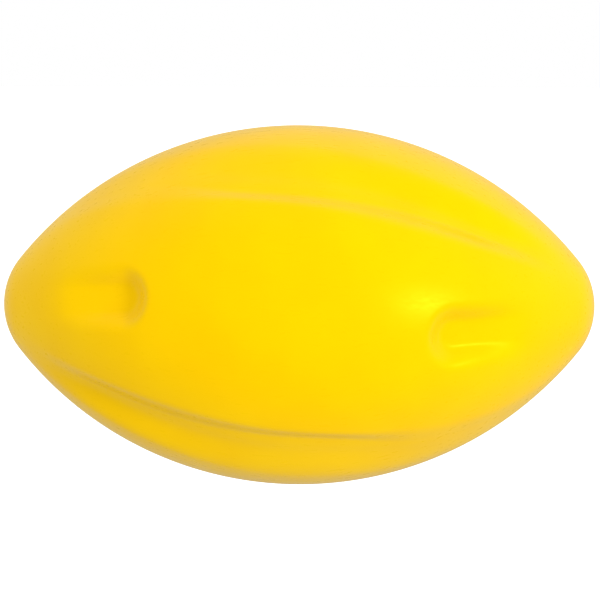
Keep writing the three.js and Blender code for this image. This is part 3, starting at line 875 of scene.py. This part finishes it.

# %% [markdown]
# ## Striker
#
# A dry bobbin of pressed cellulose holds the plunger back against its spring. When the bobbin gets wet it
# collapses, and the spring drives the plunger and its pointed pin into the cylinder's seal. The spring is
# a real coil.

# %% Striker: pin, plunger, spring and bobbin
pin_profile = [(11, 0), (14, 1.4), (26, 1.4), (26, 4.8), (29, 4.8), (29, 2), (30, 2), (30, 0)]
firing_pin = turned("pointed_firing_pin", "x", AXIS, pin_profile, 0.2)
fit(firing_pin, STAINLESS, "striker", "bright_steel", "firing_pin")
plunger_profile = [(30.3, 0), (30.3, 5), (34, 5), (34, 4.6), (52, 4.6), (52, 5), (58, 5), (58, 8), (60, 8),
                   (60, 3), (63, 3), (63, 0)]
plunger = turned("green_striker_plunger", "x", AXIS, plunger_profile, 0.3)
fit(plunger, GREEN, "striker", "indicator_green", "striker_plunger")


def coil(x0, x1, radius, wire, turns, y, z):
    """A compression spring whose end turns lie almost flat, as closed ends do."""
    t = np.linspace(0, 1, 36 * turns + 1)
    rise = 0.5 * t + 0.5 * ease(0.0, 1.0, t)
    turn = 2 * math.pi * turns * t
    x = x0 + wire + (x1 - x0 - 2 * wire) * rise
    return np.stack([x, y + radius * np.cos(turn), z + radius * np.sin(turn)], axis=1)


striker_spring = swept("striker_coil_spring", coil(60.3, 70.2, 5.4, 0.6, 5, AXIS_Y, 0), 0.6, sides=12)
striker_spring.data.materials.append(STAINLESS)
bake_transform(striker_spring)
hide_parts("striker_spring")

bobbin_profile = [(52.3, 5.4), (52.3, 9.6), (54, 9.2), (56, 9.2), (57.7, 9.6), (57.7, 5.4), (52.3, 5.4)]
bobbin = turned("cellulose_bobbin", "x", AXIS, bobbin_profile, 0.4)
fit(bobbin, CELLULOSE, "capsule", "cellulose", "water_bobbin")
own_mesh(bobbin)

# %% [markdown]
# ## Sensor cap
#
# The cap is turned by wet fingers when the bobbin is renewed, so its rim is scalloped. Six slots let
# water reach the bobbin. The scallops come from changing the radius with the angle, which keeps them as
# smooth as a mould does.

# %% Sensor cap
SCALLOPS = 18
SCALLOP_DEPTH = 0.45
SLOTS = 6


def scallops(along, turn, radii):
    grip = ease(48, 50, along) * (1 - ease(69, 71, along)) * (radii > 12.5)
    return radii - SCALLOP_DEPTH * grip * (0.5 - 0.5 * np.cos(SCALLOPS * turn)) ** 2


cap_profile = [(47, 10.8), (47, 13), (48, 14), (50, 14), (55, 14), (60, 14), (65, 14), (69, 14), (71, 14),
               (73, 12), (73, 0), (70.5, 0), (70.5, 10.8), (47, 10.8)]
sensor_cap = turned("scalloped_sensor_cap", "x", AXIS, cap_profile, 0.4, 180, scallops)
slots = []
for k in range(SLOTS):
    slot = moulded_block(f"slot_{k}", 57, 67, 9, 17, 1.5, 1.2, 1.2)
    slot.data.transform(Matrix.Rotation(math.pi * (2 * k + 1) / SLOTS, 4, "X"))
    slot.data.transform(Matrix.Translation((0, AXIS_Y * MM, 0)))
    slots.append(slot)
cut(sensor_cap, slots)
even_shading(sensor_cap)
fit(sensor_cap, CAP_YELLOW, "sensor_cap", "cap_yellow", "sensor_cap")

# %% [markdown]
# ## Port to the ring
#
# The ring hangs on a wide flange bonded into its fabric. Its hollow stem goes through the block, a rubber
# gasket seals it and a thin nut pulls it down. The flange's face carries fine rings, where the adhesive
# grips.

# %% Flange, gasket and nut
RING_PITCH = 1.2
NUT_HALF_WIDTH = 6.5  # from the axis to a flat


def bonded_face():
    rings = []
    for r in np.arange(12.6, 5, -RING_PITCH):
        rings += [(17.8, r), (17.55, r - 0.3), (17.55, r - 0.6), (17.8, r - 0.9)]
    return rings


flange_profile = [(-15.7, 0), (-15.7, 4), (15.6, 4), (15.6, 14), (17.8, 14)] + bonded_face() + [
    (17.8, 1.5), (-10, 1.5), (-10, 0)]
flange = turned("bonded_manifold_flange", "z", PORT, flange_profile, 0.3)
fit(flange, BLACK, "capsule", "black_plastic", "manifold_flange")
gasket_profile = [(14.1, 4.3), (14.1, 9), (15.3, 9), (15.3, 4.3), (14.1, 4.3)]
gasket = turned("manifold_face_gasket", "z", PORT, gasket_profile, 0.45)
fit(gasket, RUBBER, "capsule", "rubber", "manifold_gasket")


def hexagon(along, turn, radii):
    corner = np.mod(turn, math.pi / 3) - math.pi / 6
    return np.where(radii > 5, np.minimum(radii, NUT_HALF_WIDTH / np.cos(corner)), radii)


nut_profile = [(-17.9, 0), (-17.9, 6.6), (-17.3, 7.5), (-14.7, 7.5), (-14.1, 6.6), (-14.1, 4.3), (-16.2, 4.3),
               (-16.2, 0)]
nut = turned("manifold_hex_nut", "z", PORT, nut_profile, 0.08, 120, hexagon)
fit(nut, STAINLESS, "capsule", "bright_steel", "manifold_nut")

# %% [markdown]
# ## Mouth inflation tube
#
# If the gas fails, the ring is blown up by mouth. The tube is bent rubber-like plastic, and its broad
# foot is bonded to the fabric.

# %% Mouth tube
ORAL_Y, ORAL_Z = -30.0, -8.0
ORAL = (0, ORAL_Y, ORAL_Z)  # a point on the mouthpiece's axis
FOOT_X, FOOT_Z = 27.2, -18.0


def bend(points, steps=14):
    """A smooth path through the points, by the Catmull-Rom rule."""
    p = np.array([points[0]] + points + [points[-1]], float)
    path = []
    for i in range(1, len(p) - 2):
        for t in np.linspace(0, 1, steps, endpoint=False):
            a, b, c, d = p[i - 1:i + 3]
            curve, turn_in = 2 * a - 5 * b + 4 * c - d, 3 * b - a - 3 * c + d
            path.append(0.5 * (2 * b + (c - a) * t + curve * t**2 + turn_in * t**3))
    return np.array(path + [p[-1]])


BENDS = ((-14, -8), (6, -8), (16, -7.5), (24, -9.5), (27, -14), (FOOT_X, -17.5))
route = bend([(x, ORAL_Y, z) for x, z in BENDS])
tube = swept("bent_oral_tube", route, 5.0, 3.4, sides=48)
foot_profile = [(FOOT_Z, 3.4), (FOOT_Z, 9), (FOOT_Z + 0.7, 9), (FOOT_Z + 1.6, 6), (FOOT_Z + 2.6, 5.2),
                (FOOT_Z + 2.6, 3.4), (FOOT_Z, 3.4)]
foot = turned("tube_foot", "z", (FOOT_X, ORAL_Y, 0), foot_profile, 0.3)
join(tube, [foot])
fit(tube, BLACK, "capsule", "black_plastic", "oral_tube")

# %% [markdown]
# ## Mouthpiece, valve and dust cap
#
# A nylon mouthpiece is pushed into the tube. It holds a sprung poppet, which a finger presses in to let
# air out, and a soft ribbed cap keeps sand and salt off it.

# %% Mouthpiece, valve and dust cap
RIBS = 24
RIB_DEPTH = 0.3

mouthpiece_profile = [(-34, 4.4), (-34, 5.4), (-33, 6), (-28, 6), (-27, 5.6), (-17, 5.6), (-16, 6),
                      (-14.3, 6), (-14.3, 3.1), (-6, 3.1), (-6, 2.4), (-20, 2.4), (-20, 1.6), (-22, 1.6),
                      (-22, 4.4), (-34, 4.4)]
mouthpiece = turned("nylon_mouthpiece", "x", ORAL, mouthpiece_profile, 0.25)
fit(mouthpiece, NYLON, "capsule", "nylon", "oral_mouthpiece")
poppet_profile = [(-33, 0), (-33, 3.4), (-31.5, 3.6), (-31.5, 1.2), (-19.7, 1.2), (-19.7, 2.2), (-18.4, 2.2),
                  (-18.4, 0)]
poppet = turned("valve_poppet", "x", ORAL, poppet_profile, 0.2, 64)
fit(poppet, GREEN, "oral_valve", "indicator_green", "oral_valve_poppet")
valve_spring = swept("valve_coil_spring", coil(-31.3, -22.2, 2.6, 0.35, 6, ORAL_Y, ORAL_Z), 0.35, sides=10)
fit(valve_spring, STAINLESS, "capsule", "bright_steel", "oral_valve_spring")
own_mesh(valve_spring)


def grip_ribs(along, turn, radii):
    held = ease(-36.5, -35, along) * (1 - ease(-29, -27, along)) * (radii > 7)
    return radii - RIB_DEPTH * held * (0.5 - 0.5 * np.cos(RIBS * turn))


dust_profile = [(-38, 0), (-38, 6.6), (-37, 7.6), (-35, 7.6), (-32, 7.6), (-29, 7.6), (-26, 7.6), (-26, 6.3),
                (-36, 6.3), (-36, 0)]
dust_cap = turned("ribbed_dust_cap", "x", ORAL, dust_profile, 0.35, 144, grip_ribs)
fit(dust_cap, RUBBER, "dust_cap", "rubber", "dust_cap")

# %% [markdown]
# ## The folded ring
#
# The ring is a long fabric tube, pressed flat and folded like a concertina round the inflator. It starts
# from the frame's packing shape, remeshed as an even cloth. A little air pressure in that cloth then
# rounds it, as the air left in the folds does. The points may move only a little, so that the pack stays
# clear of the shells and the inflator.

# %% Puff up the pack
CLOTH_CELL = 4.2 * MM
PUFF_FRAMES = 20


def packing_shape():
    pack = new_piece("folded_ring_pack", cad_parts["folded_ring"].data.copy())
    remesh = pack.modifiers.new("even cloth", "REMESH")
    remesh.mode = "VOXEL"
    remesh.voxel_size = CLOTH_CELL
    settle(pack)
    return pack


def puff(pack, pressure, most):
    """Lets air pressure round the cloth for a few frames. No point moves further than most."""
    start = np.array([v.co for v in pack.data.vertices])
    cloth = pack.modifiers.new("air", "CLOTH")
    cloth.settings.quality = 6
    cloth.settings.mass = 0.2
    cloth.settings.tension_stiffness = 12
    cloth.settings.bending_stiffness = 0.4
    cloth.settings.use_pressure = True
    cloth.settings.uniform_pressure_force = pressure
    cloth.settings.effector_weights.gravity = 0
    cloth.point_cache.frame_start, cloth.point_cache.frame_end = 1, PUFF_FRAMES
    for step in range(1, PUFF_FRAMES + 1):
        bpy.context.scene.frame_set(step)
    settle(pack)
    bpy.context.scene.frame_set(1)
    moved = np.array([v.co for v in pack.data.vertices]) - start
    length = np.linalg.norm(moved, axis=1)[:, None]
    points = start + moved * np.minimum(1, most / np.maximum(length, 1e-9))
    pack.data.vertices.foreach_set("co", points.ravel())
    print(f"largest move {length.max() / MM:.1f} mm, kept to {most / MM:.1f} mm")


folded_ring = packing_shape()
puff(folded_ring, 4.0, 1.2 * MM)

# %% [markdown]
# ## The line that a taut band takes
#
# Two stretch bands squeeze the pack. A taut band can't follow a hollow, so its line takes the lowest
# radius near each point and is then smoothed, which leaves one soft dip across each flute. The pack is
# pressed down to just below that line, and rises again on both sides of the band.

# %% The line a taut band takes
BAND_PLACES = (-14.0, 14.0)
BAND_ANGLES = np.arange(0, 360, 1.5)
BAND_INSET = 5.3 * MM  # from the body's skin to the band's outer face
BAND_BRIDGE = 6  # steps of BAND_ANGLES on each side that the band spans
BAND_SMOOTH = 8  # steps on each side that it is smoothed over
BAND_PRESS = 1.6 * MM  # from the band's outer face to the pressed cloth
BAND_REACH = (4.2, 7.5)  # mm from the band's middle where the pressing ends
BESIDE_RISE = 5 * MM  # how far the cloth may rise over that stretch


def taut_line(x):
    """Outer radius of a band at x mm, for each of BAND_ANGLES. It bridges the flutes in a soft dip."""
    lobe_angle = (BAND_ANGLES + 90) % 180 - 90
    radius = outline_radius(x * MM, BAND_INSET) - flute_depth(x * MM, lobe_angle)
    lowest = np.min([np.roll(radius, k) for k in range(-BAND_BRIDGE, BAND_BRIDGE + 1)], axis=0)
    return np.mean([np.roll(lowest, k) for k in range(-BAND_SMOOTH, BAND_SMOOTH + 1)], axis=0)


TAUT_LINES = {x: taut_line(x) for x in BAND_PLACES}


def under_band(x, angle, most):
    """The radius that the pack is squeezed down to below a band, or most where no band crosses."""
    for place, line in TAUT_LINES.items():
        beside = float(ease(*BAND_REACH, abs(x / MM - place)))
        if beside < 1:
            squeezed = float(np.interp(angle % 360, BAND_ANGLES, line, period=360)) - BAND_PRESS
            most = min(most, squeezed + beside * BESIDE_RISE)
    return most


for place, line in TAUT_LINES.items():
    print(f"band at {place:.0f} mm: radius {line.min() / MM:.1f} to {line.max() / MM:.1f} mm")

# %% [markdown]
# ## Folds
#
# A packed ring shows its layers on every side wall as a stack of soft folds, while the front and back
# faces show one puffed panel with slack wrinkles. The folds are pressed in between the layers by a rule,
# because a simulation that really folded so much cloth would take hours. The layers drift a little, as
# hand packing leaves them, and the cloth puckers beside the bands.

# %% Press in the folds
LAYER = 7.2  # thickness of one folded layer
FOLD_DEPTH = 2.1
FOLD_ROUND = 0.45  # below 1, so that the layers are full and the creases between them narrow
LEAST_SINK = 0.25


def smooth_noise(point, size, seed):
    return noise.noise(Vector(point) / (size * MM) + Vector((seed, 3.1 * seed, 7.7)))


def fold_depth(point, normal):
    """How far the cloth sinks between two layers, and how it puckers beside the bands."""
    x, y, z = point
    drift = 2.2 * smooth_noise((x, 0.35 * y, z), 34, 1) + 0.7 * smooth_noise(point, 11, 2)
    layer = (y / MM + drift) / LAYER
    bulge = abs(math.sin(math.pi * layer)) ** FOLD_ROUND
    side_wall = math.hypot(normal.x, normal.z)
    sink = FOLD_DEPTH * (1 - bulge) * side_wall**2
    near_band = min(abs(x / MM - place) for place in BAND_PLACES)
    squeeze = math.exp(-((near_band / 5) ** 2))
    gather = math.exp(-((near_band / 12) ** 2))
    pucker = 0.55 * squeeze + 0.35 * smooth_noise((0.3 * x, y, z), 3.4, 3) * gather
    broad_wrinkle = 0.9 * abs(smooth_noise((0.45 * x, y, z), 13, 4))
    wrinkle = broad_wrinkle + 0.5 * abs(smooth_noise((x, 0.5 * y, z), 6, 5))
    return sink * (1 - 0.5 * squeeze) + pucker + wrinkle * (1 - 0.5 * side_wall) + LEAST_SINK


def press_folds(pack):
    refine = pack.modifiers.new("finer cloth", "SUBSURF")
    refine.levels = 2
    refine.render_levels = 2
    settle(pack)
    mesh = pack.data
    points = []
    for vertex in mesh.vertices:
        x, y, z = vertex.co - vertex.normal * fold_depth(vertex.co, vertex.normal) * MM
        radius = math.hypot(y, z)
        share = min(1, under_band(x, math.degrees(math.atan2(z, -y)), radius) / radius)
        points.append((x, y * share, z * share))
    mesh.vertices.foreach_set("co", np.array(points).ravel())
    shade(mesh, 180)


press_folds(folded_ring)
fit(folded_ring, FABRIC, "capsule", "ring_fabric", "folded_ring")

# %% [markdown]
# ## Pack bands
#
# The bands hold the pack until the gas tears their weak stitching. Each is a flat ribbon with softly
# rounded edges that runs along its taut line right round, so it is lofted straight along that line.

# %% Pack bands
def pack_band(name, place):
    section = [(-3.6, 1.3), (-3.9, 1.0), (-3.9, 0.4), (-3.6, 0.1), (-2, 0.03), (0, 0), (2, 0.03), (3.6, 0.1),
               (3.9, 0.4), (3.9, 1.0), (3.6, 1.3), (2, 1.35), (0, 1.38), (-2, 1.35)]
    rows = []
    for angle, radius in zip(np.radians(BAND_ANGLES), TAUT_LINES[place]):
        rows.append([((place + offset) * MM, -(radius - depth * MM) * math.cos(angle),
                      (radius - depth * MM) * math.sin(angle)) for offset, depth in section])
    return loft(name, np.array(rows), ring=True)


for k, x in enumerate(BAND_PLACES, 1):
    fit(pack_band(f"stretch_band_{k}", x), WEBBING, "capsule", "webbing", f"pack_band_{k}")

# %% [markdown]
# ## Floor
#
# The capsule is shown over a plain pale floor. It has no rest of its own, so the floor lies well under
# it, as under a piece held on a stand.

# %% Floor
FLOOR_DROP = 0.12
FLOOR_HALF = 6.0


def pale_floor():
    mesh = bpy.data.meshes.new("floor")
    s, z = FLOOR_HALF, CAD_BOX[0].z - FLOOR_DROP
    mesh.from_pydata([(-s, -s, z), (s, -s, z), (s, s, z), (-s, s, z)], [], [(0, 1, 2, 3)])
    floor = new_piece("floor", mesh)
    material = bpy.data.materials.new("pale_floor")
    material.use_nodes = True
    shader = material.node_tree.nodes["Principled BSDF"]
    shader.inputs["Base Color"].default_value = (0.9, 0.9, 0.9, 1)
    shader.inputs["Roughness"].default_value = 0.9
    shader.inputs["Emission Color"].default_value = (1, 1, 1, 1)
    shader.inputs["Emission Strength"].default_value = 0.6
    mesh.materials.append(material)
    floor.visible_diffuse = False
    floor.visible_glossy = False


pale_floor()
print(f"floor {FLOOR_DROP} m under the capsule")

# %% [markdown]
# ## Soft light
#
# The room is even and soft, and brighter from above than from below. Glossy surfaces mirror a dimmer
# room, as they do between soft boxes with dark gaps, so the yellow stays deep. The background itself is
# white.

# %% Soft light
def soft_world(low, high, mirrored):
    """Light whose strength rises from straight below to straight above. Mirrored light has its own share."""
    world = bpy.data.worlds.new("studio")
    bpy.context.scene.world = world
    world.use_nodes = True
    tree = world.node_tree
    lit = tree.nodes["Background"]
    lit.inputs["Color"].default_value = (1, 1, 1, 1)
    seen = tree.nodes.new("ShaderNodeBackground")
    seen.inputs["Color"].default_value = (1, 1, 1, 1)
    split = tree.nodes.new("ShaderNodeSeparateXYZ")
    tree.links.new(tree.nodes.new("ShaderNodeTexCoord").outputs["Generated"], split.inputs["Vector"])
    rays = tree.nodes.new("ShaderNodeLightPath")
    room = link_range(tree, split.outputs["Z"], -1, 1, low, high)
    share = link_range(tree, rays.outputs["Is Glossy Ray"], 0, 1, 1.0, mirrored)
    tree.links.new(link_math(tree, "MULTIPLY", room, share), lit.inputs["Strength"])
    mix = tree.nodes.new("ShaderNodeMixShader")
    tree.links.new(rays.outputs["Is Camera Ray"], mix.inputs["Fac"])
    tree.links.new(lit.outputs["Background"], mix.inputs[1])
    tree.links.new(seen.outputs["Background"], mix.inputs[2])
    tree.links.new(mix.outputs["Shader"], tree.nodes["World Output"].inputs["Surface"])


soft_world(0.76, 1.12, 0.65)
print("made the world:", bpy.context.scene.world.name)

# %% [markdown]
# ## Lamp
#
# One round lamp to the front right gives the single soft highlight that tells the eye how glossy the
# plastic is.

# %% Lamp
def towards(azimuth, elevation):
    a, e = math.radians(azimuth), math.radians(elevation)
    return Vector((math.sin(a) * math.cos(e), -math.cos(a) * math.cos(e), math.sin(e)))


def round_lamp(name, azimuth, elevation, distance, size, power):
    light = bpy.data.lights.new(name, "AREA")
    light.shape = "DISK"
    light.size = size
    light.energy = power
    lamp = bpy.data.objects.new(name, light)
    lamp.location = distance * towards(azimuth, elevation)
    lamp.rotation_euler = lamp.location.to_track_quat("Z", "Y").to_euler()
    bpy.context.scene.collection.objects.link(lamp)
    print(f"lamp {name}: {power} W, {size} m across")


round_lamp("key", 42, 5, 1.2, 0.28, 6.4)

# %% [markdown]
# ## Camera
#
# A long lens from a little to the right and a little above keeps both scoops and both flutes of the front
# half in view, and hardly distorts the outline.

# %% Camera
AIM = (0.0029, 0.0079)  # shares of the view's width that the camera sits right of and above the middle


def place_camera(azimuth, elevation, distance, length_share):
    """length_share is the share of the view's width that the capsule's length fills."""
    data = bpy.data.cameras.new("camera")
    camera = bpy.data.objects.new("camera", data)
    bpy.context.scene.collection.objects.link(camera)
    back = towards(azimuth, elevation)
    camera.rotation_euler = back.to_track_quat("Z", "Y").to_euler()
    bpy.context.view_layer.update()
    right, up = camera.matrix_world.to_3x3().col[0], camera.matrix_world.to_3x3().col[1]
    view_width = 2 * HALF_LENGTH / length_share
    data.lens = data.sensor_width * distance / view_width
    camera.location = back * distance + (right * AIM[0] + up * AIM[1]) * view_width
    bpy.context.scene.camera = camera
    print(f"lens {data.lens:.0f} mm from {distance} m")


place_camera(4, 5, 1.6, 0.986)
bpy.context.scene.view_settings.view_transform = "Standard"
